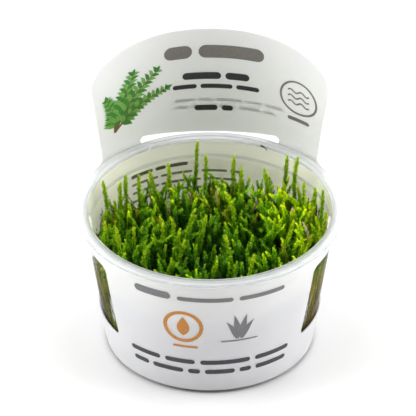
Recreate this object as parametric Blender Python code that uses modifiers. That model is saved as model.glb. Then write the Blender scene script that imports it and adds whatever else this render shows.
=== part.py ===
"""Weeping moss in a clear tissue culture cup, inside a white sheet sleeve with a tall arched header.

The model is in metres, +Z up, and the named sizes are in millimetres. The cup stands on z = 0 with its
axis on Z. The front is -Y and the header is at +Y.
"""

from math import asin, cos, hypot, pi, radians, sin, sqrt

import bmesh
import bpy
from mathutils import Matrix, Vector

MM = 0.001

# Driving dimensions, in millimetres

RIM_HEIGHT = 57.0
FLANGE_RADIUS = 50.0
FLANGE_THICKNESS = 0.9
LIP_DROP = 1.3
LIP_WIDTH = 0.9
MOUTH_RADIUS = 45.5
WALL = 0.8
FLOOR = 1.0
STEP_DROP = 7.0
STEP_WIDTH = 0.8
BAND_BOTTOM_RADIUS = 38.5
BAND_TOP_RADIUS = 47.55
BAND_BULGE = 0.5
SEGMENTS = 56

SHEET = 0.5
CLEARANCE = 0.3
BAND_BOTTOM = 1.2
BAND_TOP = 55.3
HEADER_COLUMNS = 8
HEADER_ARC_RADIUS = 55.4
HEADER_ARC_CENTRE = -5.0
HEADER_HEIGHT = 44.0
HEADER_SHOULDER = 31.5
HEADER_TOP_HALF = 44.5
HEADER_BASE_HALF = 40.4
HEADER_LEAN = 0.1
HEADER_ROUNDING = 2.7
FLARE_START = 46.5
FLARE_END = 55.2
SLOT_HALF = 26.0
SLOT_BOTTOM = 53.6
SLOT_TOP = 57.4
SLOT_END_RISE = 1.9

WINDOW_TOP = 47.8
WINDOW_BOTTOM = 16.3
WINDOW_FRONT_TOP = -25.4
WINDOW_FRONT_BOTTOM = -24.4
WINDOW_BACK = 9.5
WINDOW_CORNER = 2.5

GEL_DEPTH = 8.0
GEL_SEGMENTS = 28
MOSS_GAP = 0.4
CUSHION_SIDES = 40
CANOPY_HEIGHT = 46.5
CANOPY_FALL = 7.0
CANOPY_TILT = 0.05
CANOPY_LUMP = 1.0
CANOPY_SIDE_LIFT = 4.0
CANOPY_SIDE_START = 14.0
CANOPY_SIDE_SPAN = 24.0
BODY_DROP = 5.0
TUFTS = 92
TUFT_FIELD_RADIUS = 38.5
TUFT_RADIUS = 2.4
TUFT_RISE = 10.5
TUFT_RISE_SPREAD = 1.5
TUFT_SEAT = 2.0
TUFT_SIDES = 5
SHOOT_RADIUS = 1.25
SHOOT_SIDES = 6
SHOOT_SEAT = 9.0

# Tall shoots: tip x, y, z and root x, y, then how far the middle sways in x
SHOOTS = [
    (-40.0, 16.0, 58.0, -36.8, 14.5, 0.3),
    (-33.6, 16.3, 57.0, -32.4, 16.5, -0.4),
    (-31.5, 21.3, 57.0, -29.6, 21.0, -0.6),
    (-26.6, 21.6, 56.5, -25.0, 20.0, -0.4),
    (-22.6, 26.0, 55.4, -18.6, 24.0, 0.4),
    (-15.5, 28.9, 57.0, -12.8, 28.0, -0.5),
    (-4.7, 37.4, 61.0, -6.4, 36.0, 0.2),
    (-1.5, 33.1, 58.0, -2.4, 30.6, 0.4),
    (8.9, 32.6, 58.0, 8.0, 32.0, 0.3),
    (11.8, 26.1, 57.0, 12.6, 25.0, -0.4),
    (20.4, 25.4, 57.0, 22.4, 24.0, 0.3),
    (29.0, 30.3, 59.5, 26.6, 29.0, 0.2),
    (33.0, 27.6, 61.0, 33.2, 24.0, -1.4),
    (35.2, 16.2, 57.0, 34.0, 14.0, 0.3),
    (39.3, 12.6, 57.0, 37.2, 9.8, 0.4),
    (42.3, 8.2, 59.0, 40.4, 5.0, 0.2),
    (43.4, -2.6, 56.5, 40.4, -4.0, 0.1),
    (5.7, 6.0, 60.0, 5.8, 4.0, 3.2),
    (5.8, -18.0, 57.0, 9.2, -19.5, 0.4),
    (16.5, -32.0, 58.0, 10.5, -31.0, 0.4),
    (31.2, -11.3, 59.0, 23.0, -14.0, 0.8),
    (-34.8, -13.6, 57.0, -32.3, -15.0, 0.4),
    (-5.6, -2.4, 58.0, -10.4, -4.0, -0.4),
    (-1.4, -5.0, 57.0, -6.0, -8.0, 0.4),
]


def start_scene():
    for thing in list(bpy.data.objects):
        bpy.data.objects.remove(thing, do_unlink=True)
    collections = []
    for name in ("weeping_moss_cup", "cutters"):
        collection = bpy.data.collections.new(name)
        bpy.context.scene.collection.children.link(collection)
        collections.append(collection)
    return collections


def material(name, colour, roughness, metallic=0.0, alpha=1.0):
    made = bpy.data.materials.new(name)
    made.use_nodes = True
    shader = made.node_tree.nodes["Principled BSDF"]
    shader.inputs["Base Color"].default_value = (*colour, 1.0)
    shader.inputs["Roughness"].default_value = roughness
    shader.inputs["Metallic"].default_value = metallic
    shader.inputs["Alpha"].default_value = alpha
    return made


def add_object(name, data, collection, finish=None):
    made = bpy.data.objects.new(name, data)
    collection.objects.link(made)
    if finish is not None:
        data.materials.append(finish)
    return made


def as_cutter(thing):
    thing.hide_render = True
    thing.display_type = "WIRE"
    return thing


def boolean(target, other, operation):
    modifier = target.modifiers.new(operation.lower() + "_" + other.name, "BOOLEAN")
    modifier.operation = operation
    modifier.solver = "EXACT"
    modifier.object = other
    return modifier


def smooth(t):
    t = min(max(t, 0.0), 1.0)
    return t * t * (3.0 - 2.0 * t)


def shade_round(mesh, angle=35.0):
    mesh.shade_smooth()
    mesh.set_sharp_from_angle(angle=radians(angle))


# Shared outlines

def band_radius(z):
    """Outer radius of the sleeve's band: a cone with a slight bulge, which the cup's wall follows."""
    t = z / BAND_TOP
    return BAND_BOTTOM_RADIUS + (BAND_TOP_RADIUS - BAND_BOTTOM_RADIUS) * t + 4.0 * BAND_BULGE * t * (1.0 - t)


def cup_outer(z):
    return band_radius(z) - SHEET - CLEARANCE


def cup_inner(z):
    return cup_outer(z) - WALL


def turned(name, profile, segments, collection, finish):
    """A profile of (radius, height) in mm, turned about Z with a Screw modifier."""
    mesh = bpy.data.meshes.new(name)
    mesh.from_pydata([(r * MM, 0.0, z * MM) for r, z in profile],
                     [(i, i + 1) for i in range(len(profile) - 1)], [])
    made = add_object(name, mesh, collection, finish)
    screw = made.modifiers.new("turn", "SCREW")
    screw.angle = 2.0 * pi
    screw.steps = segments
    screw.render_steps = segments
    screw.use_merge_vertices = True
    screw.merge_threshold = 0.00001
    turned_mesh = bpy.data.meshes.new_from_object(made.evaluated_get(bpy.context.evaluated_depsgraph_get()))
    made.modifiers.clear()
    made.data = turned_mesh
    shade_round(turned_mesh)
    return made


def make_cup(collection):
    step = RIM_HEIGHT - STEP_DROP
    under = RIM_HEIGHT - FLANGE_THICKNESS
    lip = RIM_HEIGHT - LIP_DROP
    neck = MOUTH_RADIUS + 0.5
    ledge = MOUTH_RADIUS - 0.2 - STEP_WIDTH
    profile = [
        (0.0, FLOOR),
        (cup_inner(FLOOR) - 1.6, FLOOR),
        (cup_inner(2.6), 2.6),
        (cup_inner(15.0), 15.0),
        (cup_inner(30.0), 30.0),
        (ledge, step - 3.0),
        (ledge, step - 0.4),
        (MOUTH_RADIUS - 0.2, step + 0.2),
        (MOUTH_RADIUS, RIM_HEIGHT - 0.5),
        (MOUTH_RADIUS + 0.5, RIM_HEIGHT),
        (FLANGE_RADIUS - 0.4, RIM_HEIGHT),
        (FLANGE_RADIUS, RIM_HEIGHT - 0.4),
        (FLANGE_RADIUS, lip),
        (FLANGE_RADIUS - LIP_WIDTH, lip),
        (FLANGE_RADIUS - LIP_WIDTH, under),
        (neck + 0.3, under),
        (neck, under - 0.4),
        (neck, step + 0.2),
        (cup_outer(step - 1.0), step - 1.0),
        (cup_outer(30.0), 30.0),
        (cup_outer(15.0), 15.0),
        (cup_outer(1.0), 1.0),
        (cup_outer(1.0) - 1.0, 0.0),
        (0.0, 0.0),
    ]
    finish = material("clear_cup_plastic", (0.86, 0.89, 0.86), 0.12, alpha=0.5)
    return turned("cup", profile, SEGMENTS, collection, finish)


# The sleeve

def header_radius(azimuth):
    """Distance from the cup's axis to the header's flatter arc, at an azimuth from +Y."""
    return HEADER_ARC_CENTRE * cos(azimuth) + sqrt(
        HEADER_ARC_RADIUS ** 2 - (HEADER_ARC_CENTRE * sin(azimuth)) ** 2)


def header_top(t):
    """Height of the header's top edge over the rim, at t of its half width."""
    dome = HEADER_HEIGHT - HEADER_SHOULDER
    return HEADER_SHOULDER + dome * max(0.0, 1.0 - abs(t) ** HEADER_ROUNDING) ** (1.0 / HEADER_ROUNDING)


def header_point(column, rise):
    """A point of the header: column from -1 to 1, rise from 0 at the rim to 1 at the top edge."""
    spread = sin(column * pi / 2.0)
    t = column + (spread - column) * rise
    height = header_top(t) * rise
    side = min(height / HEADER_SHOULDER, 1.0)
    x = t * (HEADER_BASE_HALF + (HEADER_TOP_HALF - HEADER_BASE_HALF) * side)
    arc_y = HEADER_ARC_CENTRE + sqrt(HEADER_ARC_RADIUS ** 2 - x * x)
    return Vector((x, arc_y + HEADER_LEAN * height, RIM_HEIGHT + height))


def band_point(azimuth, z, edge_azimuth):
    """A point of the band at an azimuth from +Y, flaring out to the header at the back."""
    reach = 1.0 - smooth((abs(azimuth) - edge_azimuth) / radians(14.0))
    flare = smooth((z - FLARE_START) / (FLARE_END - FLARE_START)) * reach
    radius = band_radius(min(z, BAND_TOP))
    radius += (header_radius(azimuth) - radius) * flare
    return Vector((radius * sin(azimuth), radius * cos(azimuth), z))


def sleeve_columns():
    """The sheet's columns of points round the cup, bottom to top, with the header's at the back."""
    step = 2.0 * pi / SEGMENTS
    base_edge = asin(HEADER_BASE_HALF / hypot(HEADER_BASE_HALF, HEADER_ARC_CENTRE
                                              + sqrt(HEADER_ARC_RADIUS ** 2 - HEADER_BASE_HALF ** 2)))
    band_rows = [BAND_BOTTOM, 15.0, 30.0, FLARE_START, 51.0, BAND_TOP]
    header_rises = [0.0, 0.3, 0.62, 0.85, 1.0]
    columns = []
    for i in range(SEGMENTS):
        number = i if i <= SEGMENTS // 2 else i - SEGMENTS
        azimuth = number * step
        points = [band_point(azimuth, z, base_edge) for z in band_rows]
        if abs(number) <= HEADER_COLUMNS:
            points += [header_point(number / HEADER_COLUMNS, rise) for rise in header_rises]
        columns.append(points)
    return columns


def make_sleeve(collection, cutters):
    mesh = bpy.data.meshes.new("sleeve")
    bm = bmesh.new()
    columns = [[bm.verts.new(p * MM) for p in points] for points in sleeve_columns()]
    for i, column in enumerate(columns):
        after = columns[(i + 1) % len(columns)]
        for low in range(min(len(column), len(after)) - 1):
            bm.faces.new((column[low], column[low + 1], after[low + 1], after[low]))
    bmesh.ops.recalc_face_normals(bm, faces=bm.faces)
    if sum(f.normal.dot(f.calc_center_median() * Vector((1, 1, 0))) for f in bm.faces) < 0:
        bmesh.ops.reverse_faces(bm, faces=bm.faces)
    bm.to_mesh(mesh)
    bm.free()
    sleeve = add_object("sleeve", mesh, collection, material("white_sleeve_sheet", (0.9, 0.9, 0.89), 0.35))
    shell = sleeve.modifiers.new("sheet", "SOLIDIFY")
    shell.thickness = SHEET * MM
    shell.offset = -1.0
    window = [(WINDOW_FRONT_TOP, WINDOW_TOP), (WINDOW_BACK, WINDOW_TOP),
              (WINDOW_BACK, WINDOW_BOTTOM), (WINDOW_FRONT_BOTTOM, WINDOW_BOTTOM)]
    turn_side = Matrix.Rotation(pi / 2, 4, "Z") @ Matrix.Rotation(pi / 2, 4, "X")
    for name, x in (("window_right", 45.0), ("window_left", -45.0)):
        cutter = prism(name, rounded(window, WINDOW_CORNER), 30.0, cutters)
        cutter.matrix_world = Matrix.Translation((x * MM, 0.0, 0.0)) @ turn_side
        boolean(sleeve, cutter, "DIFFERENCE")
    cutter = prism("slot", slot_outline(), 20.0, cutters)
    cutter.matrix_world = Matrix.Translation((0.0, 50.0 * MM, 0.0)) @ Matrix.Rotation(pi / 2, 4, "X")
    boolean(sleeve, cutter, "DIFFERENCE")
    return sleeve


def rounded(corners, radius, steps=4):
    """A closed outline with each corner replaced by a round one, as (x, y) in mm."""
    outline = []
    count = len(corners)
    for i, corner in enumerate(corners):
        corner = Vector(corner)
        before = (Vector(corners[i - 1]) - corner).normalized()
        after = (Vector(corners[(i + 1) % count]) - corner).normalized()
        half = before.angle(after) / 2.0
        centre = corner + (before + after).normalized() * radius / sin(half)
        start = corner + before * radius / (sin(half) / cos(half)) - centre
        end = corner + after * radius / (sin(half) / cos(half)) - centre
        for k in range(steps + 1):
            spoke = start.lerp(end, k / steps).normalized() * radius
            outline.append(tuple(centre + spoke))
    return outline


def slot_outline():
    """The slot's outline in mm: long, with round ends that are a little higher than its middle."""
    flat = rounded([(-SLOT_HALF, SLOT_TOP), (SLOT_HALF, SLOT_TOP),
                    (SLOT_HALF, SLOT_BOTTOM), (-SLOT_HALF, SLOT_BOTTOM)], 0.49 * (SLOT_TOP - SLOT_BOTTOM))
    outline = []
    for i, (x, z) in enumerate(flat):
        after_x, after_z = flat[(i + 1) % len(flat)]
        pieces = max(1, round(abs(after_x - x) / 6.0))
        for k in range(pieces):
            t = k / pieces
            there = x + (after_x - x) * t
            outline.append((there, z + (after_z - z) * t + SLOT_END_RISE * (there / SLOT_HALF) ** 2))
    return outline


def prism(name, outline, depth, cutters):
    """A flat outline in mm filled and extruded to a depth, as a mesh in the cutters' collection."""
    curve = bpy.data.curves.new(name, "CURVE")
    curve.dimensions = "2D"
    curve.fill_mode = "BOTH"
    curve.extrude = depth * MM / 2.0
    spline = curve.splines.new("POLY")
    spline.points.add(len(outline) - 1)
    for point, (x, y) in zip(spline.points, outline):
        point.co = (x * MM, y * MM, 0.0, 1.0)
    spline.use_cyclic_u = True
    drawn = add_object(name + "_outline", curve, cutters)
    mesh = bpy.data.meshes.new_from_object(drawn.evaluated_get(bpy.context.evaluated_depsgraph_get()))
    bpy.data.objects.remove(drawn, do_unlink=True)
    bm = bmesh.new()
    bm.from_mesh(mesh)
    bmesh.ops.remove_doubles(bm, verts=bm.verts, dist=0.000001)
    bmesh.ops.recalc_face_normals(bm, faces=bm.faces)
    bm.to_mesh(mesh)
    bm.free()
    return as_cutter(add_object(name, mesh, cutters))


# The gel and the moss

def make_gel(collection):
    low = FLOOR + CLEARANCE
    high = FLOOR + GEL_DEPTH
    profile = [
        (0.0, high),
        (cup_inner(high) - CLEARANCE - 0.1, high),
        (cup_inner(3.4) - CLEARANCE - 0.1, 3.4),
        (cup_inner(FLOOR) - 2.2, low),
        (0.0, low),
    ]
    finish = material("nutrient_gel", (0.8, 0.78, 0.62), 0.2)
    return turned("nutrient_gel", profile, GEL_SEGMENTS, collection, finish)


def canopy(x, y):
    """Level of the dense moss's shoots: lower at the back and front, highest on the right, and lumpy."""
    reach = hypot(x, y) / TUFT_FIELD_RADIUS
    lumps = sin(0.31 * x + 1.1) * cos(0.27 * y - 0.4) + 0.6 * sin(0.62 * x - 0.5) * sin(0.55 * y + 1.9)
    lumps *= CANOPY_LUMP * (1.0 - 0.5 * reach)
    lift = CANOPY_SIDE_LIFT * smooth((abs(x) - CANOPY_SIDE_START) / CANOPY_SIDE_SPAN)
    return CANOPY_HEIGHT - CANOPY_FALL * reach ** 3 + CANOPY_TILT * x + lift + lumps


def body_top(x, y):
    """Height of the solid body under the short shoots."""
    return canopy(x, y) - BODY_DROP


def make_cushion_body(collection):
    sides = CUSHION_SIDES
    low = FLOOR + GEL_DEPTH + CLEARANCE
    side_rows = [low, 20.0, 32.0]
    top_radii = [38.0, 30.0, 21.0, 11.0]
    bm = bmesh.new()
    rings = []
    for z in side_rows:
        rings.append([bm.verts.new(Vector((r * cos(a), r * sin(a), z)) * MM)
                      for r, a in ((cup_inner(z) - MOSS_GAP, 2.0 * pi * i / sides) for i in range(sides))])
    for r in top_radii:
        ring = []
        for i in range(sides):
            x = r * cos(2.0 * pi * i / sides)
            y = r * sin(2.0 * pi * i / sides)
            ring.append(bm.verts.new(Vector((x, y, body_top(x, y))) * MM))
        rings.append(ring)
    for lower, upper in zip(rings, rings[1:]):
        for i in range(sides):
            after = (i + 1) % sides
            bm.faces.new((lower[i], lower[after], upper[after], upper[i]))
    bottom = bm.verts.new((0.0, 0.0, low * MM))
    top = bm.verts.new((0.0, 0.0, body_top(0.0, 0.0) * MM))
    for i in range(sides):
        after = (i + 1) % sides
        bm.faces.new((rings[0][after], rings[0][i], bottom))
        bm.faces.new((rings[-1][i], rings[-1][after], top))
    mesh = bpy.data.meshes.new("moss_cushion")
    bm.to_mesh(mesh)
    bm.free()
    return add_object("moss_cushion", mesh, collection, material("moss_green", (0.1, 0.26, 0.02), 0.75))


def stem(bm, path, radii, sides):
    """A tapered stem along a path in mm, closed at both ends, added to bm."""
    rings = []
    for i, (point, radius) in enumerate(zip(path, radii)):
        along = (path[min(i + 1, len(path) - 1)] - path[max(i - 1, 0)]).normalized()
        across = along.cross(Vector((0.0, 1.0, 0.0))).normalized()
        other = along.cross(across)
        ring = []
        for k in range(sides):
            angle = 2.0 * pi * k / sides
            ring.append(bm.verts.new((point + (across * cos(angle) + other * sin(angle)) * radius) * MM))
        rings.append(ring)
    faces = [bm.faces.new(rings[0]), bm.faces.new(list(reversed(rings[-1])))]
    for lower, upper in zip(rings, rings[1:]):
        for k in range(sides):
            after = (k + 1) % sides
            faces.append(bm.faces.new((lower[after], lower[k], upper[k], upper[after])))
    return faces


def finish_stems(bm, name):
    bmesh.ops.recalc_face_normals(bm, faces=bm.faces)
    mesh = bpy.data.meshes.new(name)
    bm.to_mesh(mesh)
    bm.free()
    return mesh


def shoot_path(shoot, steps=4):
    """The middle line of a tall shoot in mm, from its seat in the cushion to its tip."""
    tip_x, tip_y, tip_z, root_x, root_y, sway = shoot
    root = Vector((root_x, root_y, canopy(root_x, root_y) - SHOOT_SEAT))
    tip = Vector((tip_x, tip_y, tip_z))
    path = []
    for i in range(steps + 1):
        t = i / steps
        point = root.lerp(tip, t)
        point.x += 4.0 * sway * t * (1.0 - t)
        path.append(point)
    return path


def shoot_radii(count, extra=0.0):
    return [SHOOT_RADIUS * (1.0 - 0.6 * (i / (count - 1)) ** 2) + extra for i in range(count)]


def make_shoots(collection, cutters, cushion):
    finish = material("moss_shoot_green", (0.3, 0.45, 0.03), 0.7)
    sockets = bmesh.new()
    for number, shoot in enumerate(SHOOTS, start=1):
        name = f"moss_shoot_{number:02d}"
        path = shoot_path(shoot)
        bm = bmesh.new()
        stem(bm, path, shoot_radii(len(path)), SHOOT_SIDES)
        mesh = finish_stems(bm, name)
        shade_round(mesh, 50.0)
        add_object(name, mesh, collection, finish)
        start = path[0] - (path[1] - path[0]).normalized() * CLEARANCE
        stem(sockets, [start] + path[1:3], shoot_radii(len(path), CLEARANCE + 0.05)[:3], SHOOT_SIDES)
    cutter = as_cutter(add_object("shoot_sockets", finish_stems(sockets, "shoot_sockets"), cutters))
    boolean(cushion, cutter, "DIFFERENCE")


def clear_of_shoots(x, y):
    """Whether a tuft at x, y leaves every tall shoot free from its seat to over the tuft."""
    room = TUFT_RADIUS + SHOOT_RADIUS + CLEARANCE + 0.3
    for shoot in SHOOTS:
        for point in shoot_path(shoot, 8):
            if hypot(point.x - x, point.y - y) < room:
                return False
    return True


def add_tufts(cushion, cutters):
    """The short shoots, spread evenly by the golden angle and joined to the cushion."""
    golden = pi * (3.0 - sqrt(5.0))
    bm = bmesh.new()
    for i in range(TUFTS):
        radius = TUFT_FIELD_RADIUS * sqrt((i + 0.5) / TUFTS)
        azimuth = i * golden
        x = radius * cos(azimuth)
        y = radius * sin(azimuth)
        if not clear_of_shoots(x, y):
            continue
        base = Vector((x, y, body_top(x, y) - TUFT_SEAT))
        rise = Vector((0.0, 0.0, TUFT_RISE + TUFT_RISE_SPREAD * sin(5.1 * i)))
        lean = Vector((1.2 * sin(2.3 * i), 1.2 * cos(3.7 * i), 0.0))
        path = [base, base + 0.55 * rise + 0.3 * lean, base + rise + lean]
        stem(bm, path, [TUFT_RADIUS, 0.75 * TUFT_RADIUS, 0.25 * TUFT_RADIUS], TUFT_SIDES)
    tufts = as_cutter(add_object("tufts", finish_stems(bm, "tufts"), cutters))
    boolean(cushion, tufts, "UNION")


def main():
    collection, cutters = start_scene()
    make_cup(collection)
    make_sleeve(collection, cutters)
    make_gel(collection)
    cushion = make_cushion_body(collection)
    add_tufts(cushion, cutters)
    make_shoots(collection, cutters, cushion)


main()
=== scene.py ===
from math import asin, ceil, cos, hypot, pi, radians, sin, sqrt, tan

import bmesh
import bpy
import numpy as np
from mathutils import Matrix, Vector


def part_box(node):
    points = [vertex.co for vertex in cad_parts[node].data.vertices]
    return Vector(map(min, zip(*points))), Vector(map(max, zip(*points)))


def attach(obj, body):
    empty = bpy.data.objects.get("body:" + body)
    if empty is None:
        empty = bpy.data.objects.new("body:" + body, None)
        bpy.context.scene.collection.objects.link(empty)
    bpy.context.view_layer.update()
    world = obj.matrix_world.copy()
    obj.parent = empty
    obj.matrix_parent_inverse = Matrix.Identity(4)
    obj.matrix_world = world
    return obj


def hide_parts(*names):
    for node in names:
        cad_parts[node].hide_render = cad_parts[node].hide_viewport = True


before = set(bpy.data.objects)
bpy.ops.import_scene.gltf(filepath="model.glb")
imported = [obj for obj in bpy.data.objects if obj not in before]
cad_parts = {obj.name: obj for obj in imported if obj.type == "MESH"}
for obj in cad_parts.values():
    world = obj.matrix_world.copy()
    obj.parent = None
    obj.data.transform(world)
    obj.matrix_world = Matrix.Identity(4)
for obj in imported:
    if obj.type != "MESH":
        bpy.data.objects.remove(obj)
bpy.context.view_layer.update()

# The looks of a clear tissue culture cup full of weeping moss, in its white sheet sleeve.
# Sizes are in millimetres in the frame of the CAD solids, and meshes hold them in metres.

MM = 0.001
BODY = "root"

# Sizes read from the CAD solids

CUP_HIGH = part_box("cup")[1]
SLEEVE_LOW, SLEEVE_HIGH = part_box("sleeve")
RIM_HEIGHT = CUP_HIGH.z / MM
FLANGE_RADIUS = CUP_HIGH.x / MM
BAND_BOTTOM = SLEEVE_LOW.z / MM
HEADER_HEIGHT = SLEEVE_HIGH.z / MM - RIM_HEIGHT
GEL_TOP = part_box("nutrient_gel")[1].z / MM

# Driving sizes that the solids share

FLANGE_THICKNESS = 0.9
LIP_DROP = 1.3
LIP_WIDTH = 0.9
MOUTH_RADIUS = 45.5
WALL = 0.8
FLOOR = 1.0
STEP_DROP = 7.0
STEP_WIDTH = 0.8
BAND_BOTTOM_RADIUS = 38.5
BAND_TOP_RADIUS = 47.55
BAND_BULGE = 0.5
BAND_TOP = 55.3
SHEET = 0.5
CLEARANCE = 0.3
HEADER_ARC_RADIUS = 55.4
HEADER_ARC_CENTRE = -5.0
HEADER_SHOULDER = 31.5
HEADER_TOP_HALF = 44.5
HEADER_BASE_HALF = 40.4
HEADER_LEAN = 0.1
HEADER_ROUNDING = 2.7
FLARE_START = 46.5
FLARE_END = 55.2
FLARE_FADE = radians(14.0)
SLOT_HALF = 26.0
SLOT_BOTTOM = 53.6
SLOT_TOP = 57.4
SLOT_END_RISE = 1.9
WINDOW_TOP = 47.8
WINDOW_BOTTOM = 16.3
WINDOW_FRONT_TOP = -25.4
WINDOW_FRONT_BOTTOM = -24.4
WINDOW_BACK = 9.5
WINDOW_CORNER = 2.5
CANOPY_HEIGHT = 46.5
CANOPY_FALL = 7.0
CANOPY_TILT = 0.05
CANOPY_LUMP = 1.0
CANOPY_SIDE_LIFT = 4.0
CANOPY_SIDE_START = 14.0
CANOPY_SIDE_SPAN = 24.0
CANOPY_REACH = 38.5
SHOOT_SEAT = 9.0

# The moss's reach at the wall, which the solids don't give

MOSS_RADIUS = 43.0

# Where the middles of the cutters for the windows and the slot are

WINDOW_CUT_X = 45.0
SLOT_CUT_Y = 50.0

# Fineness of the meshes made here, and how many shoots there are

CUP_SEGMENTS = 192
SLEEVE_COLUMNS = 224
HEADER_COLUMNS = 32
BAND_ROWS = 14
FLARE_ROWS = 7
HEADER_ROWS = 22
BED_SEGMENTS = 160
GEL_SEGMENTS = 128
UNDERGROWTH_SHOOTS = 620
CANOPY_SHOOTS = 500
WALL_STEMS = 240

# The turn from one leaf to the next, and a direction that no shoot runs in

LEAF_TURN = 2.399963
SIDEWAYS = np.array([0.31, 0.95, 0.02])

# Tall shoots: tip x, y, z and root x, y, then how far the middle sways in x
SHOOTS = [
    (-40, 16, 58, -36.8, 14.5, 0.3), (-33.6, 16.3, 57, -32.4, 16.5, -0.4),
    (-31.5, 21.3, 57, -29.6, 21, -0.6), (-26.6, 21.6, 56.5, -25, 20, -0.4),
    (-22.6, 26, 55.4, -18.6, 24, 0.4), (-15.5, 28.9, 57, -12.8, 28, -0.5), (-4.7, 37.4, 61, -6.4, 36, 0.2),
    (-1.5, 33.1, 58, -2.4, 30.6, 0.4), (8.9, 32.6, 58, 8, 32, 0.3), (11.8, 26.1, 57, 12.6, 25, -0.4),
    (20.4, 25.4, 57, 22.4, 24, 0.3), (29, 30.3, 59.5, 26.6, 29, 0.2), (33, 27.6, 61, 33.2, 24, -1.4),
    (35.2, 16.2, 57, 34, 14, 0.3), (39.3, 12.6, 57, 37.2, 9.8, 0.4), (42.3, 8.2, 59, 40.4, 5, 0.2),
    (43.4, -2.6, 56.5, 40.4, -4, 0.1), (5.7, 6, 60, 5.8, 4, 3.2), (5.8, -18, 57, 9.2, -19.5, 0.4),
    (16.5, -32, 58, 10.5, -31, 0.4), (31.2, -11.3, 59, 23, -14, 0.8), (-34.8, -13.6, 57, -32.3, -15, 0.4),
    (-5.6, -2.4, 58, -10.4, -4, -0.4), (-1.4, -5, 57, -6, -8, 0.4),
]

# Hollows in the moss, where the shoots stand lower and are painted darker as shade: place x, y and reach
HOLLOWS = [(-1.0, -9.0, 8.0), (5.0, -27.0, 6.5), (27.0, -9.0, 4.5), (-29.0, 5.0, 4.5), (13.0, 11.0, 5.0),
           (-20.0, -22.0, 5.0), (-12.0, 10.0, 4.5)]

# Bright fronds lower than the tall shoots: tip x, y, z, foot x, y and length
FRONDS = [
    (-28.1, -5.9, 52, -30.2, -6.5, 15), (-17.4, -3.3, 52, -18.6, -3.6, 11),
    (-11.4, -6.5, 52, -12.9, -7, 13), (-14.4, 0.9, 52, -14, 0, 12), (-9.3, -13.7, 52, -11, -14.5, 13),
    (18.4, 13, 52, 21.4, 12, 12), (24.4, 0, 52, 27.4, -1, 11), (-14.2, -20.4, 48.5, -16.5, -21.5, 11),
    (-24.5, -17.5, 50, -23, -18.5, 12), (34.5, -14, 51, 33, -13, 12), (37, 2, 54, 35.6, 1, 13),
    (2.5, -24, 49.5, 0.5, -24.5, 11), (33, 20, 53, 32, 19, 13), (35.5, 12, 53.5, 34, 11, 13),
    (38.5, 5.5, 53.5, 37, 4.5, 13), (40, 0, 53, 38.5, -1, 13), (40.5, -6, 52.5, 38.8, -7, 12),
    (38, -11, 52, 36.5, -12, 12), (31, 3.5, 53.5, 29.5, 3, 12), (29, 14.5, 53, 28, 13.5, 12),
    (33.5, -5, 52.5, 32.5, -6, 12), (36, -17.5, 50.5, 34.5, -18, 12), (27.5, 22.5, 53, 27, 21.5, 13),
    (22, 29, 52, 21.5, 28, 12), (-38.5, 8, 50.5, -37.5, 7, 12), (-39, 0.5, 50, -38, 0, 12),
    (-35, -4.5, 50.5, -34, -5, 12), (-36, 14, 51, -35, 13, 12), (-30.5, 10.5, 51.5, -29.5, 10, 12),
]

# Dead beige shoots: place x, y
DEAD_SHOOTS = [(30.4, 9.4), (31.6, 7.6), (16.0, 16.5), (36.5, -3.0), (-16.0, 17.5), (-6.5, 24.0), (3.6, 21.0)]


def linked(name, data):
    """A new object in the scene for a mesh, a light or a camera."""
    made = bpy.data.objects.new(name, data)
    bpy.context.collection.objects.link(made)
    return made


def make_camera():
    """A long lens at the photograph's height, with the rim's centre near the frame's."""
    elevation = radians(35.0)
    distance = 6000.0
    pixels_per_mm = 2.68
    frame_pixels = 416
    sensor = 36.0
    rim_x, rim_y = 209.8, 208.3
    camera = bpy.data.cameras.new("camera")
    camera.sensor_width = sensor
    camera.lens = sensor * pixels_per_mm * distance / frame_pixels
    camera.clip_end = 20.0
    up = Vector((0.0, sin(elevation), cos(elevation)))
    target = Vector(((frame_pixels / 2 - rim_x) / pixels_per_mm, 0.0, RIM_HEIGHT))
    target += up * (rim_y - frame_pixels / 2) / pixels_per_mm
    place = target + distance * Vector((0.0, -cos(elevation), sin(elevation)))
    made = linked("camera", camera)
    made.location = place * MM
    made.rotation_euler = (pi / 2 - elevation, 0.0, 0.0)
    bpy.context.scene.camera = made


# Materials

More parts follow.
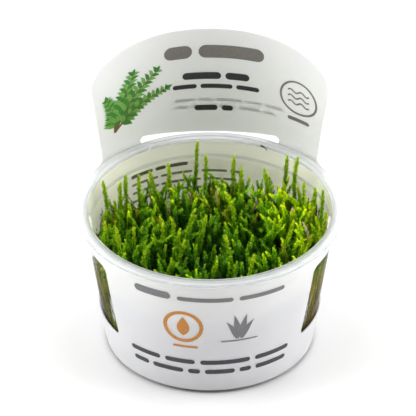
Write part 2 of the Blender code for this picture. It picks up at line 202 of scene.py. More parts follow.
class Nodes:
    """The nodes of a material or of the world, made and wired by short calls."""

    def __init__(self, tree):
        self.tree = tree

    def node(self, kind, **settings):
        made = self.tree.nodes.new("ShaderNode" + kind)
        for name, value in settings.items():
            setattr(made, name, value)
        return made

    def put(self, value, socket):
        """Sets a socket to a number or a colour, or links the output that feeds it."""
        if isinstance(value, bpy.types.NodeSocket):
            self.tree.links.new(value, socket)
        else:
            socket.default_value = value

    def noise(self, scale, detail=3.0, stretch=(1.0, 1.0, 1.0)):
        """Noise in the object's own space, with scale in cells per metre."""
        mapping, texture = self.node("Mapping"), self.node("TexNoise")
        self.put(self.node("TexCoord").outputs["Object"], mapping.inputs["Vector"])
        self.put(stretch, mapping.inputs["Scale"])
        self.put(mapping.outputs["Vector"], texture.inputs["Vector"])
        self.put(scale, texture.inputs["Scale"])
        self.put(detail, texture.inputs["Detail"])
        return texture.outputs["Fac"]

    def axes(self, space):
        """The X, Y and Z of a texture space."""
        parts = self.node("SeparateXYZ")
        self.put(self.node("TexCoord").outputs[space], parts.inputs["Vector"])
        return parts.outputs

    def ramp(self, factor, stops):
        """A colour ramp with a stop for each (position, colour)."""
        made = self.node("ValToRGB")
        elements = made.color_ramp.elements
        while len(elements) < len(stops):
            elements.new(0.5)
        for element, (position, colour) in zip(elements, stops):
            element.position = position
            element.color = (*colour, 1.0)
        self.put(factor, made.inputs["Fac"])
        return made.outputs["Color"]

    def ranged(self, value, low, high, start=0.0, end=1.0):
        """The value's run from start to end, carried over to low to high."""
        made = self.node("MapRange")
        for name, number in (("From Min", start), ("From Max", end), ("To Min", low), ("To Max", high)):
            self.put(number, made.inputs[name])
        self.put(value, made.inputs["Value"])
        return made.outputs["Result"]

    def math(self, operation, *values):
        made = self.node("Math", operation=operation)
        for value, socket in zip(values, made.inputs):
            self.put(value, socket)
        return made.outputs["Value"]

    def mixed(self, blend, factor, first, second):
        """Mix of two colours."""
        made = self.node("Mix", data_type="RGBA", blend_type=blend)
        self.put(factor, made.inputs["Factor"])
        for name, value in (("A", first), ("B", second)):
            self.put(value, next(s for s in made.inputs if s.name == name and s.type == "RGBA"))
        return next(s for s in made.outputs if s.type == "RGBA")

    def product(self, *colours):
        result = colours[0]
        for colour in colours[1:]:
            result = self.mixed("MULTIPLY", 1.0, result, colour)
        return result


class Finish(Nodes):
    """A Principled material, its sockets set by name, with underscores for spaces."""

    def __init__(self, name, **values):
        self.made = bpy.data.materials.new(name)
        self.made.use_nodes = True
        super().__init__(self.made.node_tree)
        self.sockets = self.tree.nodes["Principled BSDF"].inputs
        for socket, value in values.items():
            self.put(value, self.sockets[socket.replace("_", " ")])

    def colour(self, value):
        self.put(value, self.sockets["Base Color"])

    def mottle(self, scale, low, high, detail=3.0):
        """A base colour that wanders from low to high."""
        self.colour(self.ramp(self.noise(scale, detail), [(0.3, low), (0.7, high)]))

    def roughness(self, factor, low, high):
        self.put(self.ranged(factor, low, high), self.sockets["Roughness"])

    def bump(self, height, distance, strength=1.0):
        """Bumps from a height output, with the distance in mm."""
        made = self.node("Bump")
        self.put(distance * MM, made.inputs["Distance"])
        self.put(strength, made.inputs["Strength"])
        self.put(height, made.inputs["Height"])
        self.put(made.outputs["Normal"], self.sockets["Normal"])


def clear_plastic(name, colour, ior, clearness, grain, roughness):
    """Clear plastic whose roughness wanders from its low to its high value."""
    finish = Finish(name, Base_Color=(*colour, 1.0), IOR=ior, Transmission_Weight=clearness)
    finish.roughness(finish.noise(grain), *roughness)
    return finish.made


def sleeve_sheet():
    """White plastic sheet with a satin face and a very fine grain."""
    finish = Finish("white_sheet", IOR=1.5, Specular_IOR_Level=0.4, Subsurface_Weight=1.0,
                    Subsurface_Scale=0.0018, Subsurface_Radius=(0.9, 0.9, 0.8))
    finish.mottle(45.0, (0.86, 0.862, 0.86), (0.9, 0.9, 0.9), 4.0)
    finish.roughness(finish.noise(900.0), 0.34, 0.5)
    finish.bump(finish.noise(2600.0, 2.0), 0.02, 0.35)
    return finish.made


def ink(name, colour, spread=0.12):
    """Printed ink: flat colour with a slight mottle."""
    finish = Finish(name, Specular_IOR_Level=0.3)
    low = tuple(c * (1.0 - spread) for c in colour)
    high = tuple(min(c * (1.0 + spread), 1.0) for c in colour)
    finish.mottle(1500.0, low, high)
    finish.roughness(finish.noise(800.0), 0.35, 0.5)
    return finish.made


def gel_material():
    """Cloudy clear nutrient gel, stained a little by the plant."""
    finish = Finish("clear_gel", IOR=1.34, Transmission_Weight=0.85)
    finish.mottle(120.0, (0.62, 0.6, 0.4), (0.82, 0.8, 0.62), 5.0)
    finish.roughness(finish.noise(300.0), 0.08, 0.25)
    return finish.made


def bed_side_material():
    """Old moss pressed on the wall: olive and brown, in upright streaks, darker lower down.

    A pale bluish painted reflection lies at its front on both sides, beside the windows' front edges.
    """
    finish = Finish("old_moss", Specular_IOR_Level=0.2, Roughness=0.8)
    streaks = finish.noise(420.0, 5.0, (1.0, 1.0, 0.06))
    patches = finish.noise(70.0, 2.0, (1.0, 1.0, 0.4))
    place = finish.axes("Object")
    height = finish.ranged(place["Z"], 0.0, 1.0, 12.0 * MM, 46.0 * MM)
    colour = finish.product(
        finish.ramp(streaks, [(0.32, (0.045, 0.038, 0.005)), (0.5, (0.16, 0.135, 0.016)),
                              (0.66, (0.38, 0.32, 0.05))]),
        finish.ramp(patches, [(0.38, (0.5, 0.8, 0.35)), (0.6, (1.0, 0.92, 0.8))]),
        finish.ramp(height, [(0.0, (0.42, 0.4, 0.3)), (0.45, (0.75, 0.68, 0.5)), (0.75, (1.1, 1.1, 0.8)),
                             (1.0, (0.7, 1.3, 0.3))]))
    # Painted reflection: a pale bluish patch at the front of both sides, beside the windows' front edges.
    painted_reflection = 1.0
    for axis, reflection_edge, reflection_full in (("Y", -18.8, -20.4), ("Z", 18.5, 21.5), ("Z", 31.5, 27.5)):
        painted_reflection = finish.math("MULTIPLY", painted_reflection, finish.ranged(place[axis], 0.0, 1.0, reflection_edge * MM, reflection_full * MM))
    finish.colour(finish.mixed("MIX", painted_reflection, colour, (0.6, 0.68, 0.74, 1.0)))
    finish.bump(streaks, 0.3)
    return finish.made


def bed_top_material():
    """The tangle between the shoots' feet: almost black green, partly dark old moss and partly painted shade.
    """
    finish = Finish("shaded_moss", Specular_IOR_Level=0.15, Roughness=0.85)
    tangle = finish.noise(1100.0, 4.0)
    finish.colour(finish.ramp(tangle, [(0.35, (0.002, 0.006, 0.0005)), (0.6, (0.012, 0.035, 0.002)),
                                       (0.75, (0.03, 0.07, 0.004))]))
    finish.bump(tangle, 0.8)
    return finish.made


def moss_material(name, ages, tones):
    """Leaves coloured by the mesh's growth attribute.

    Red is age, 0 at a shoot's foot and 1 at its tip. Green is the shoot's tone, darker in the hollows as
    painted shade, and blue the leaf's.
    The ramp over age darkens towards the foot, partly as older growth and partly as painted shade deep in the
    moss.
    """
    finish = Finish(name, Specular_IOR_Level=0.22)
    growth = finish.node("Attribute", attribute_name="growth").outputs["Color"]
    parts = finish.node("SeparateColor")
    finish.put(growth, parts.inputs["Color"])
    leaf = parts.outputs["Blue"]
    finish.colour(finish.product(
        finish.ramp(parts.outputs["Red"], ages), finish.ramp(parts.outputs["Green"], tones),
        finish.ramp(leaf, [(0.0, (0.45, 0.47, 0.5)), (1.0, (1.45, 1.42, 1.2))])))
    finish.roughness(leaf, 0.5, 0.75)
    return finish.made


# Meshes

def add_piece(name, mesh, finish, replaced=()):
    """A mesh as a piece that rides on the body, takes a slot and may stand for CAD nodes."""
    made = linked(name, mesh)
    mesh.materials.append(finish)
    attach(made, BODY)
    if replaced:
        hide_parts(*replaced)


def filleted(corners, steps=4):
    """An open outline of (x, y, radius) corners in mm, each with its radius rounded off."""
    outline = []
    for i, (x, y, radius) in enumerate(corners):
        here = Vector((x, y))
        if radius == 0.0:
            outline.append(here)
            continue
        before = Vector(corners[i - 1][:2]) - here
        after = Vector(corners[i + 1][:2]) - here
        reach = radius / tan(before.angle(after) / 2.0)
        reach = min(reach, 0.45 * before.length, 0.45 * after.length)
        start = here + before.normalized() * reach
        end = here + after.normalized() * reach
        for k in range(steps + 1):
            t = k / steps
            outline.append(start * (1.0 - t) ** 2 + here * 2.0 * t * (1.0 - t) + end * t * t)
    return outline


def turned_mesh(name, outline, segments, wobble=None):
    """An outline of (radius, height) in mm from axis to axis, turned about Z, as a closed smooth mesh.

    wobble, if given, takes an azimuth, a radius and a height and gives the radius and height there.
    """
    points, faces, rings = [], [], []
    for r, z in outline:
        if r < 1e-6:
            rings.append([len(points)])
            points.append((0.0, 0.0, z * MM))
            continue
        ring = []
        for i in range(segments):
            azimuth = 2.0 * pi * i / segments
            there = wobble(azimuth, r, z) if wobble else (r, z)
            ring.append(len(points))
            points.append((there[0] * cos(azimuth) * MM, there[0] * sin(azimuth) * MM, there[1] * MM))
        rings.append(ring)
    for upper, lower in zip(rings, rings[1:]):
        for i in range(segments):
            after = (i + 1) % segments
            corners = [upper[i % len(upper)], lower[i % len(lower)],
                       lower[after % len(lower)], upper[after % len(upper)]]
            faces.append(list(dict.fromkeys(corners)))
    mesh = bpy.data.meshes.new(name)
    mesh.from_pydata(points, [], faces)
    mesh.shade_smooth()
    mesh.set_sharp_from_angle(angle=radians(40.0))
    return mesh


# Cup

def band_radius(z):
    """Outer radius of the sleeve's band, which the cup's wall follows."""
    t = z / BAND_TOP
    return BAND_BOTTOM_RADIUS + (BAND_TOP_RADIUS - BAND_BOTTOM_RADIUS) * t + 4.0 * BAND_BULGE * t * (1.0 - t)


def cup_outer(z):
    return band_radius(z) - SHEET - CLEARANCE


def cup_inner(z):
    return cup_outer(z) - WALL


def make_cup(wall_finish, rim_finish, step_shade_finish):
    """The cup with its two-level flange, rounded edges and stacking step, whose ledge takes a greyer plastic
    as a painted shade line.
    """
    step = RIM_HEIGHT - STEP_DROP
    under = RIM_HEIGHT - FLANGE_THICKNESS
    lip = RIM_HEIGHT - LIP_DROP
    neck = MOUTH_RADIUS + 0.5
    ledge = MOUTH_RADIUS - 0.2 - STEP_WIDTH
    groove = 0.3
    wall_rows = (2.6, 8.0, 15.0, 22.0, 30.0, 38.0)
    inside = [(0.0, FLOOR + 0.5, 0.0), (12.0, FLOOR + 0.4, 3.0), (cup_inner(FLOOR) - 1.8, FLOOR, 1.2)]
    inside += [(cup_inner(z), z, 1.0 if z < 3.0 else 0.0) for z in wall_rows]
    inside += [(ledge, step - 3.0, 0.5), (ledge, step - 0.4, 0.25), (MOUTH_RADIUS - 0.2, step + 0.2, 0.25)]
    flange = [(MOUTH_RADIUS + out, RIM_HEIGHT - down, rounding) for out, down, rounding in (
        (-0.05, 0.9, 0.3), (0.25, 0.0, 0.3), (0.95, 0.0, 0.25), (1.15, groove, 0.2), (2.05, groove, 0.2),
        (2.3, 0.0, 0.25))]
    flange += [(FLANGE_RADIUS, RIM_HEIGHT, 0.5), (FLANGE_RADIUS, lip, 0.2),
               (FLANGE_RADIUS - LIP_WIDTH, lip, 0.2), (FLANGE_RADIUS - LIP_WIDTH, under, 0.2),
               (neck, under, 0.4)]
    outside = [(neck, step + 0.2, 0.4), (cup_outer(step - 1.0), step - 1.0, 0.4)]
    outside += [(cup_outer(z), z, 0.0) for z in reversed(wall_rows)]
    outside += [(cup_outer(1.0) - 0.1, 0.0, 1.0), (cup_outer(1.0) - 2.2, 0.0, 0.1),
                (cup_outer(1.0) - 2.6, 0.35, 0.3), (12.0, 0.5, 2.0), (0.0, 0.5, 0.0)]
    mesh = turned_mesh("cup_plastic", filleted(inside + flange + outside), CUP_SEGMENTS)
    add_piece("cup_plastic", mesh, wall_finish, ["cup"])
    mesh.materials.append(rim_finish)
    mesh.materials.append(step_shade_finish)
    for face in mesh.polygons:
        height = face.center.z / MM
        # The step's ledge gets the grey plastic: a painted shade line.
        on_step = step - 0.5 < height < step + 0.3 and hypot(*face.center[:2]) / MM < MOUTH_RADIUS
        face.material_index = 2 if on_step else int(height > RIM_HEIGHT - 1.6)


# Sleeve

def smooth(t):
    t = min(max(t, 0.0), 1.0)
    return t * t * (3.0 - 2.0 * t)


def header_radius(azimuth):
    """Distance from the cup's axis to the header's flatter arc, at an azimuth from +Y."""
    return HEADER_ARC_CENTRE * cos(azimuth) + sqrt(
        HEADER_ARC_RADIUS ** 2 - (HEADER_ARC_CENTRE * sin(azimuth)) ** 2)


def header_surface(x, height, lift=0.0):
    """A point of the header's outer face, or lifted off it away from the cup."""
    arc_y = HEADER_ARC_CENTRE + sqrt((HEADER_ARC_RADIUS + lift) ** 2 - x * x)
    return Vector((x, arc_y + HEADER_LEAN * height, RIM_HEIGHT + height))


def header_top(t):
    """Height of the header's top edge over the rim, at t of its half width."""
    dome = HEADER_HEIGHT - HEADER_SHOULDER
    return HEADER_SHOULDER + dome * max(0.0, 1.0 - abs(t) ** HEADER_ROUNDING) ** (1.0 / HEADER_ROUNDING)


def header_point(column, rise):
    """A point of the header: column from -1 to 1, rise from 0 at the rim to 1 at the top edge."""
    spread = sin(column * pi / 2.0)
    t = column + (spread - column) * rise
    height = header_top(t) * rise
    side = min(height / HEADER_SHOULDER, 1.0)
    return header_surface(t * (HEADER_BASE_HALF + (HEADER_TOP_HALF - HEADER_BASE_HALF) * side), height)


HEADER_EDGE_AZIMUTH = asin(HEADER_BASE_HALF / hypot(HEADER_BASE_HALF, HEADER_ARC_CENTRE
                                                    + sqrt(HEADER_ARC_RADIUS ** 2 - HEADER_BASE_HALF ** 2)))


def band_point(azimuth, z, lift=0.0):
    """A point of the band's outer face at an azimuth from +Y, flaring out to the header at the back."""
    reach = 1.0 - smooth((abs(azimuth) - HEADER_EDGE_AZIMUTH) / FLARE_FADE)
    flare = smooth((z - FLARE_START) / (FLARE_END - FLARE_START)) * reach
    radius = band_radius(min(z, BAND_TOP))
    radius += (header_radius(azimuth) - radius) * flare + lift
    return Vector((radius * sin(azimuth), radius * cos(azimuth), z))


def rounded(corners, radius, steps=10):
    """A closed outline with each corner replaced by a round one, as (x, y) in mm."""
    outline = []
    count = len(corners)
    for i, corner in enumerate(corners):
        corner = Vector(corner)
        before = (Vector(corners[i - 1]) - corner).normalized()
        after = (Vector(corners[(i + 1) % count]) - corner).normalized()
        half = before.angle(after) / 2.0
        centre = corner + (before + after).normalized() * radius / sin(half)
        start = corner + before * radius / tan(half) - centre
        end = corner + after * radius / tan(half) - centre
        for k in range(steps + 1):
            spoke = start.lerp(end, k / steps).normalized() * radius
            outline.append(centre + spoke)
    return outline


def slot_outline():
    """The slot's outline in mm: long, with round ends that are a little higher than its middle."""
    flat = rounded([(-SLOT_HALF, SLOT_TOP), (SLOT_HALF, SLOT_TOP),
                    (SLOT_HALF, SLOT_BOTTOM), (-SLOT_HALF, SLOT_BOTTOM)], 0.49 * (SLOT_TOP - SLOT_BOTTOM))
    outline = []
    for i, point in enumerate(flat):
        after = flat[(i + 1) % len(flat)]
        pieces = max(1, round(abs(after.x - point.x) / 2.0))
        for k in range(pieces):
            x, z = point.lerp(after, k / pieces)
            outline.append((x, z + SLOT_END_RISE * (x / SLOT_HALF) ** 2))
    return outline


def cut_prism(target, name, outline, depth, placed):
    """Cuts a flat outline, extruded to a depth and placed by a matrix, out of the target."""
    bm = bmesh.new()
    low = [bm.verts.new((x * MM, y * MM, -depth * MM / 2.0)) for x, y in outline]
    high = [bm.verts.new((x * MM, y * MM, depth * MM / 2.0)) for x, y in outline]
    bm.faces.new(low)
    bm.faces.new(list(reversed(high)))
    for i in range(len(low)):
        after = (i + 1) % len(low)
        bm.faces.new((low[after], low[i], high[i], high[after]))
    bmesh.ops.recalc_face_normals(bm, faces=bm.faces)
    mesh = bpy.data.meshes.new(name)
    bm.to_mesh(mesh)
    bm.free()
    cutter = linked(name, mesh)
    cutter.matrix_world = placed
    modifier = target.modifiers.new(name, "BOOLEAN")
    modifier.operation = "DIFFERENCE"
    modifier.solver = "EXACT"
    modifier.object = cutter
    return cutter


def applied(target):
    """The target with its modifiers made part of its mesh."""
    mesh = bpy.data.meshes.new_from_object(target.evaluated_get(bpy.context.evaluated_depsgraph_get()))
    target.modifiers.clear()
    target.data = mesh
    return mesh


def make_sleeve(finish):
    """The wrapped sheet with its flared back and header, its two windows and its slot."""
    band_rows = [BAND_BOTTOM + (FLARE_START - BAND_BOTTOM) * k / BAND_ROWS for k in range(BAND_ROWS + 1)]
    band_rows += [FLARE_START + (BAND_TOP - FLARE_START) * k / FLARE_ROWS for k in range(1, FLARE_ROWS + 1)]
    header_rises = [k / HEADER_ROWS for k in range(HEADER_ROWS + 1)]
    bm = bmesh.new()
    columns = []
    for i in range(SLEEVE_COLUMNS):
        number = i if i <= SLEEVE_COLUMNS // 2 else i - SLEEVE_COLUMNS
        azimuth = number * 2.0 * pi / SLEEVE_COLUMNS
        points = [band_point(azimuth, z) for z in band_rows]
        if abs(number) <= HEADER_COLUMNS:
            points += [header_point(number / HEADER_COLUMNS, rise) for rise in header_rises]
        columns.append([bm.verts.new(p * MM) for p in points])
    for i, column in enumerate(columns):
        after = columns[(i + 1) % len(columns)]
        for low in range(min(len(column), len(after)) - 1):
            bm.faces.new((column[low], column[low + 1], after[low + 1], after[low]))
    mesh = bpy.data.meshes.new("sleeve_sheet")
    bm.to_mesh(mesh)
    bm.free()
    sleeve = linked("sleeve_sheet", mesh)
    shell = sleeve.modifiers.new("sheet", "SOLIDIFY")
    shell.thickness = SHEET * MM
    shell.offset = -1.0
    window = rounded([(WINDOW_FRONT_TOP, WINDOW_TOP), (WINDOW_BACK, WINDOW_TOP),
                      (WINDOW_BACK, WINDOW_BOTTOM), (WINDOW_FRONT_BOTTOM, WINDOW_BOTTOM)], WINDOW_CORNER)
    turn_side = Matrix.Rotation(pi / 2, 4, "Z") @ Matrix.Rotation(pi / 2, 4, "X")
    back = Matrix.Translation((0.0, SLOT_CUT_Y * MM, 0.0)) @ Matrix.Rotation(pi / 2, 4, "X")
    cutters = []
    for name, x in (("window_right", WINDOW_CUT_X), ("window_left", -WINDOW_CUT_X)):
        placed = Matrix.Translation((x * MM, 0.0, 0.0)) @ turn_side
        cutters.append(cut_prism(sleeve, name, window, 30.0, placed))
    cutters.append(cut_prism(sleeve, "slot", slot_outline(), 20.0, back))
    mesh = applied(sleeve)
    for thing in cutters + [sleeve]:
        bpy.data.objects.remove(thing, do_unlink=True)
    mesh.materials.clear()
    mesh.shade_smooth()
    mesh.set_sharp_from_angle(angle=radians(35.0))
    add_piece("sleeve_sheet", mesh, finish, ["sleeve"])


# Print

# How far the print stands off the sheet, and the radius its places on the band are given at

PRINT_LIFT = 0.04
BAND_REFERENCE = 45.0


def on_front(u, v):
    """The band's front, u to the viewer's right along the curve and v the height."""
    azimuth = pi - u / BAND_REFERENCE
    return band_point(azimuth, v, PRINT_LIFT)


def on_header(u, v):
    """The header's inner face, which looks forwards, v over the rim."""
    return header_surface(u, v, -SHEET - PRINT_LIFT)


def on_header_back(u, v):
    """The header's outer face, seen from behind."""
    return header_surface(-u, v, PRINT_LIFT)


def in_back(u, v):
    """The inner face of the band at the back, seen through the cup."""
    return band_point(u / BAND_REFERENCE, v, -SHEET - PRINT_LIFT)


class Print:
    """Flat strokes laid on the sleeve's surface, gathered in one mesh."""

    def __init__(self, surface):
        self.surface = surface
        self.points = []
        self.faces = []

    def stroke(self, path, widths, closed=False):
        """A stroke along (u, v) points in mm, three points across at each width."""
        path = [Vector(p) for p in path]
        count = len(path)
        first = len(self.points)
        for i, point in enumerate(path):
            before = path[i - 1] if closed else path[max(i - 1, 0)]
            after = path[(i + 1) % count] if closed else path[min(i + 1, count - 1)]
            along = (after - before).normalized()
            across = Vector((-along.y, along.x)) * widths[i] / 2.0
            for side in (-1.0, 0.0, 1.0):
                self.points.append(self.surface(*(point + across * side)) * MM)
        for i in range(count if closed else count - 1):
            here = first + 3 * i
            after = first + 3 * ((i + 1) % count)
            for side in (0, 1):
                self.faces.append((here + side, after + side, after + side + 1, here + side + 1))

    def bar(self, left, right, middle, height):
        """A level bar with round ends."""
        reach = min(height, right - left) / 2.0
        ends = [reach * (1.0 - cos(pi / 2.0 * k / 5)) for k in range(1, 6)]
        steps = max(2, ceil((right - left - 2.0 * reach) / 1.5))
        stops = [0.02 * reach] + ends
        stations = [left + s for s in stops]
        stations += [left + reach + (right - left - 2.0 * reach) * k / steps for k in range(1, steps)]
        stations += [right - s for s in reversed(stops)]
        widths = []
        for u in stations:
            inset = min(u - left, right - u, reach)
            widths.append(height * sqrt(max(0.0, 1.0 - (1.0 - inset / reach) ** 2)))
        self.stroke([(u, middle) for u in stations], widths)

    def line(self, start, end, width):
        """A straight stroke with round ends."""
        start, end = Vector(start), Vector(end)
        steps = max(6, ceil((end - start).length))
        widths = [width] * (steps + 1)
        widths[0] = widths[-1] = 0.6 * width
        self.stroke([start.lerp(end, k / steps) for k in range(steps + 1)], widths)

    def ring(self, u, v, radius, width, steps=60):
        turns = [2.0 * pi * k / steps for k in range(steps)]
        self.stroke([(u + radius * cos(a), v + radius * sin(a)) for a in turns], [width] * steps, closed=True)

    def leaf(self, start, end, width, bend=0.0):
        """A pointed leaf from start to end, bent sideways in the middle."""
        start, end = Vector(start), Vector(end)
        side = Vector((-(end - start).y, (end - start).x)).normalized()
        steps = 12
        path, widths = [], []
        for k in range(steps + 1):
            t = k / steps
            path.append(start.lerp(end, t) + side * bend * 4.0 * t * (1.0 - t))
            widths.append(max(width * sin(pi * t ** 0.8), 0.02))
        self.stroke(path, widths)

    def finish(self, name, material):
        mesh = bpy.data.meshes.new(name)
        mesh.from_pydata(self.points, [], self.faces)
        add_piece(name, mesh, material)


def bar_row(page, left, middle, height, lengths, gap):
    """A row of bars with gaps between them, from the left."""
    for length in lengths:
        page.bar(left, left + length, middle, height)
        left += length + gap


def centred_row(page, centre, middle, height, lengths, gap):
    bar_row(page, centre - (sum(lengths) + gap * (len(lengths) - 1)) / 2.0, middle, height, lengths, gap)


def make_header_print(grey, dark, leaf_green, light_green, brown):
    title = Print(on_header)
    centred_row(title, 1.6, 34.5, 5.4, [10.5, 24.6], 2.4)
    badge = (33.2, 21.5)
    title.ring(*badge, 6.6, 0.75)
    for row in range(3):
        waves = [(badge[0] - 3.9 + 7.8 * k / 24, badge[1] + 2.4 - 2.4 * row + 0.55 * sin(2.0 * pi * k / 12))
                 for k in range(25)]
        title.stroke(waves, [0.6] * len(waves))
    centred_row(title, badge[0], 12.2, 1.5, [8.0], 1.0)
    title.finish("print_header_grey", grey)
    lines = Print(on_header)
    centred_row(lines, 2.3, 24.2, 2.9, [14.5, 9.0], 1.6)
    centred_row(lines, 2.3, 19.8, 1.8, [9.0, 12.0, 8.6], 1.4)
    centred_row(lines, 1.5, 10.6, 2.2, [8.6, 4.2], 1.6)
    lines.finish("print_header_dark", dark)
    dark_leaves = Print(on_header)
    light_leaves = Print(on_header)
    stalks = Print(on_header)
    foot = Vector((-35.5, 8.2))
    fronds = [((-38.4, 22.5), 5.0, -1.0), ((-29.0, 29.0), 6.4, 0.6), ((-20.5, 28.0), 6.0, 1.6),
              ((-16.8, 20.0), 4.6, 1.8)]
    for crown, longest, bow in fronds:
        crown = Vector(crown)
        side = Vector((-(crown - foot).y, (crown - foot).x)).normalized()
        way = (crown - foot).normalized()
        spine = [foot.lerp(crown, k / 20) + side * bow * sin(pi * k / 20) for k in range(21)]
        stalks.stroke(spine, [0.9 - 0.6 * k / 20 for k in range(21)])
        steps = 13
        for k in range(2, steps + 1):
            t = k / steps
            node = foot.lerp(crown, t) + side * bow * sin(pi * t)
            reach = longest * (1.0 - 0.55 * t)
            for hand, page in ((1.0, dark_leaves if k % 2 else light_leaves),
                               (-1.0, light_leaves if k % 2 else dark_leaves)):
                page.leaf(node, node + (side * hand + way * 0.7) * reach * 0.85, 2.1 - 0.8 * t, -0.5 * hand)
        dark_leaves.leaf(crown, crown + way * 3.2, 1.4)
    stalks.finish("print_fern_stalks", brown)
    dark_leaves.finish("print_fern_dark_leaves", leaf_green)
    light_leaves.finish("print_fern_light_leaves", light_green)


def make_front_print(grey, dark, orange):
    title = Print(on_front)
    title.bar(-29.0, -14.4, 48.2, 3.4)
    bar_row(title, -12.0, 47.7, 2.0, [20.6, 18.0], 2.2)
    title.finish("print_front_title", grey)
    drop = Print(on_front)
    drop.ring(-10.2, 33.6, 7.0, 1.5)
    drop.leaf((-10.2, 29.2), (-10.2, 38.6), 4.9)
    drop.bar(-14.6, -4.6, 23.6, 1.1)
    drop.finish("print_front_drop", orange)
    icon = Print(on_front)
    centre = 11.6
    icon.line((centre - 7.4, 26.6), (centre + 7.4, 26.6), 0.7)
    for lean, reach, width in ((-5.4, 9.2, 2.2), (-2.4, 12.4, 2.5), (2.4, 12.4, 2.5), (5.4, 9.2, 2.2)):
        icon.leaf((centre + 0.2 * lean, 27.2), (centre + lean, 27.2 + reach), width, 0.12 * lean)
    icon.finish("print_front_tuft", grey)
    lines = Print(on_front)
    centred_row(lines, 0.0, 15.8, 2.2, [14.0, 12.5, 20.5, 16.0], 2.2)
    centred_row(lines, 0.0, 11.0, 2.2, [7.4, 13.5, 5.0, 12.5, 5.0, 14.5], 2.0)
    lines.finish("print_front_lines", dark)


def make_back_print(back_grey, heading_grey, row_grey):
    """Rows of thin bars on the band's inner face at the back and on the header's back."""
    heading = Print(in_back)
    bar_row(heading, -31.5, 46.2, 1.4, [9.6, 4.2, 7.4], 1.1)
    heading.finish("print_inner_heading", heading_grey)
    inner = Print(in_back)
    bar_row(inner, -31.5, 42.8, 0.95, [7.4, 3.1, 3.0, 8.2, 1.2, 9.6, 4.0], 1.1)
    bar_row(inner, -31.5, 39.4, 0.95, [4.0, 6.6, 2.6, 7.2, 3.4, 6.0, 5.2], 1.1)
    bar_row(inner, -31.5, 36.0, 0.95, [8.0, 3.6, 5.6, 4.4, 9.0, 6.4], 1.1)
    inner.finish("print_inner_rows", row_grey)
    header = Print(on_header_back)
    bar_row(header, -28.1, 13.9, 1.3, [7.2, 6.5, 10.0, 5.5, 8.0], 1.1)
    bar_row(header, -25.1, 11.0, 1.3, [4.6, 8.6, 6.0, 9.5, 5.5], 1.1)
    header.finish("print_header_back_lines", back_grey)


# Moss

def canopy(x, y):
    """Height of the dense moss: lower at the back and front, highest on the right, and lumpy."""
    reach = hypot(x, y) / CANOPY_REACH
    lumps = sin(0.31 * x + 1.1) * cos(0.27 * y - 0.4) + 0.6 * sin(0.62 * x - 0.5) * sin(0.55 * y + 1.9)
    lumps *= CANOPY_LUMP * (1.0 - 0.5 * reach)
    lift = CANOPY_SIDE_LIFT * smooth((abs(x) - CANOPY_SIDE_START) / CANOPY_SIDE_SPAN)
    return CANOPY_HEIGHT - CANOPY_FALL * reach ** 3 + CANOPY_TILT * x + lift + lumps


def beside(x):
    """How far a place is on the side, where the old moss stands higher: 0 to 1."""
    return smooth((abs(x) - 26.0) / 10.0)


def moss_top(x, y):
    """Mean height of the short shoots' tips."""
    return canopy(x, y) + 2.6


